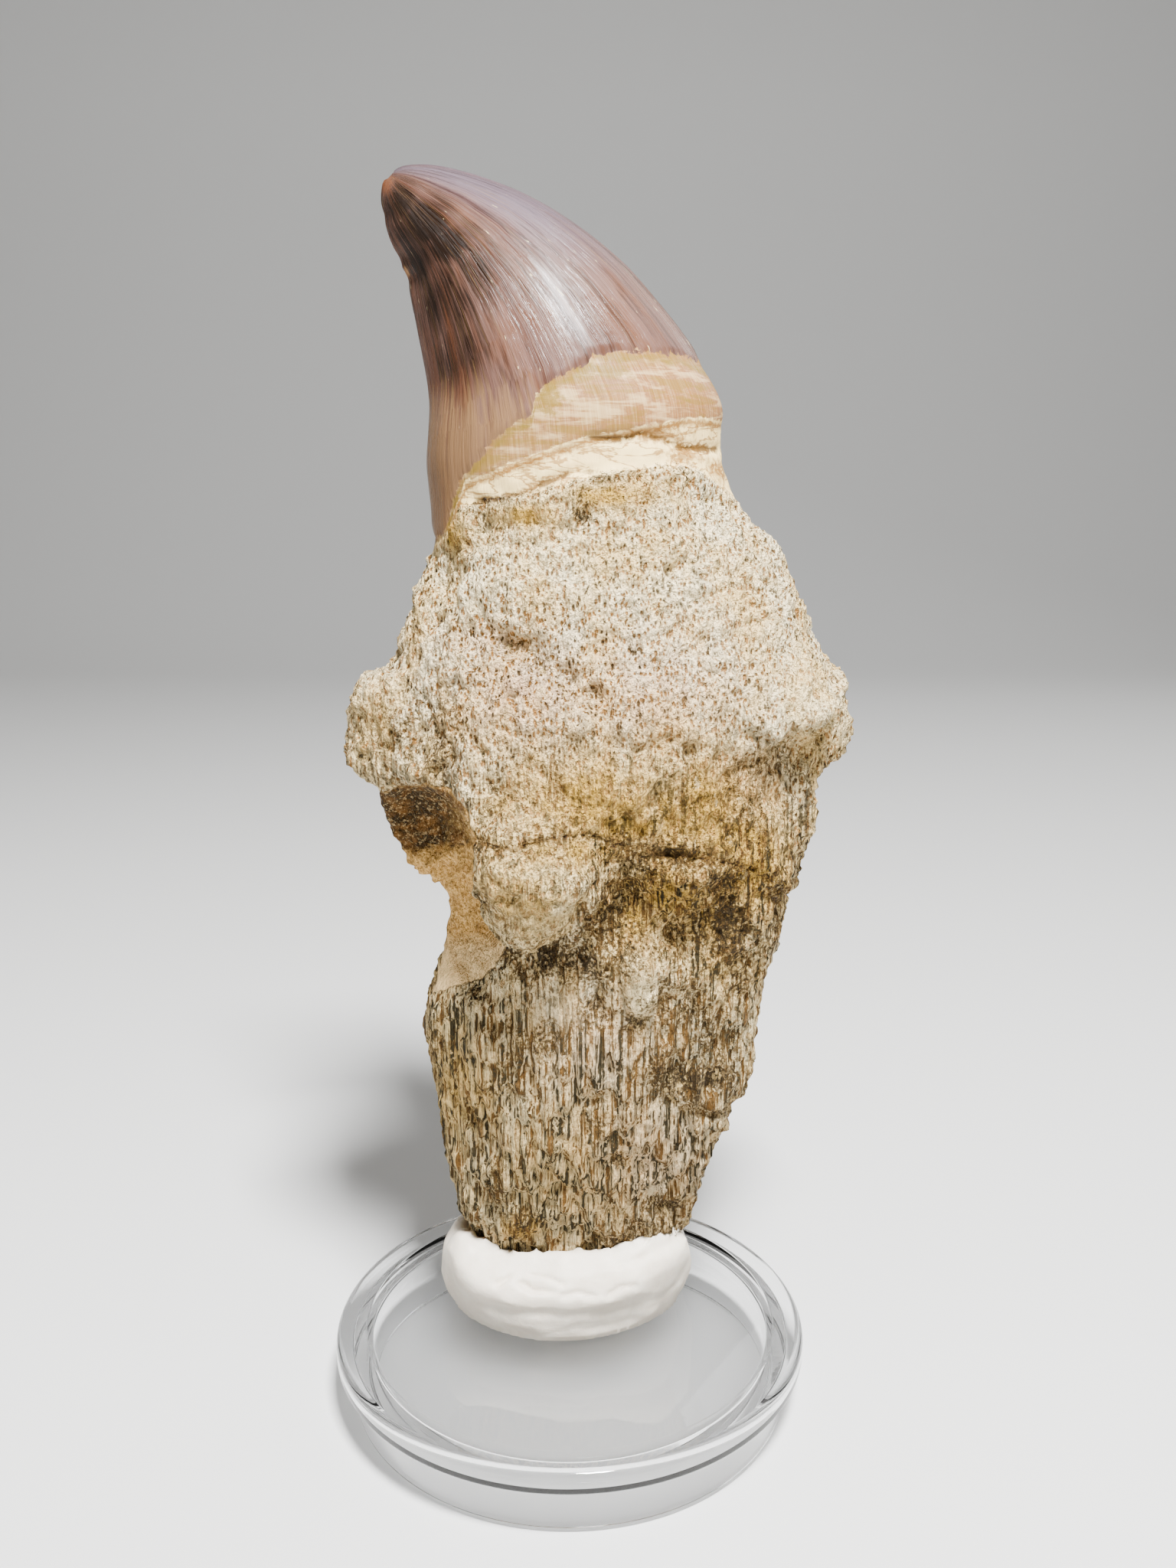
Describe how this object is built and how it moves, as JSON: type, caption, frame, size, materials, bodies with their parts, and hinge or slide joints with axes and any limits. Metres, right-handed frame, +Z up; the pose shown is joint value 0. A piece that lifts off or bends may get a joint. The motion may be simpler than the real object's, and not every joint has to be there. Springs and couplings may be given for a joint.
{
  "type": "fossil prognathodon mosasaur tooth",
  "caption": "Curved, pointed fossil mosasaur tooth on its tall porous root, standing in a lump of putty on a clear round stepped display base.",
  "frame": {"origin": "centre of the whole object's bounding box, at the underside of the display base, on the surface it stands on", "axes": "+Z up through the tooth, the tooth's pictured face and the putty's bulge towards -Y, the crown's tip curving towards -X; the round base's own axis stands at x = -1.73 mm, y = 0"},
  "size_m": [0.0534, 0.05, 0.1244],
  "materials": {
    "fossil": "matte",
    "putty": "satin",
    "clear_plastic": "gloss"
  },
  "bodies": {
    "root": {"tooth": "fossil", "putty": "putty", "display_base": "clear_plastic"}
  },
  "joints": []
}
